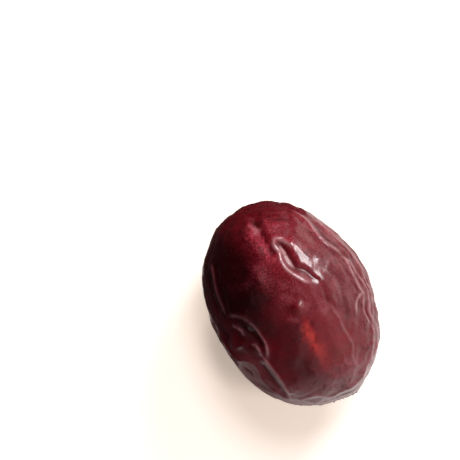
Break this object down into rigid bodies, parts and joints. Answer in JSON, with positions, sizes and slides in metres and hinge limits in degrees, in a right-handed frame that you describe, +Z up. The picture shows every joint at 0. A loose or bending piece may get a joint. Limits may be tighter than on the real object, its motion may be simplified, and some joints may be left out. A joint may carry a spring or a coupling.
{
  "type": "passion fruit",
  "caption": "Ripe purple passion fruit with wrinkled, sunken skin, lying on its side on a small flat spot.",
  "frame": {"origin": "under the middle of the fruit's box, on the flat spot that it rests on", "axes": "+Y along the fruit to its blossom end, the stem scar at -Y, +Z up"},
  "size_m": [0.0456, 0.0614, 0.0434],
  "materials": {
    "skin": "thin leathery rind, dark red to purple-brown with a brighter red blush, waxy gloss, fine pale freckles"
  },
  "bodies": {
    "root": {"passion_fruit": "skin"}
  },
  "joints": []
}
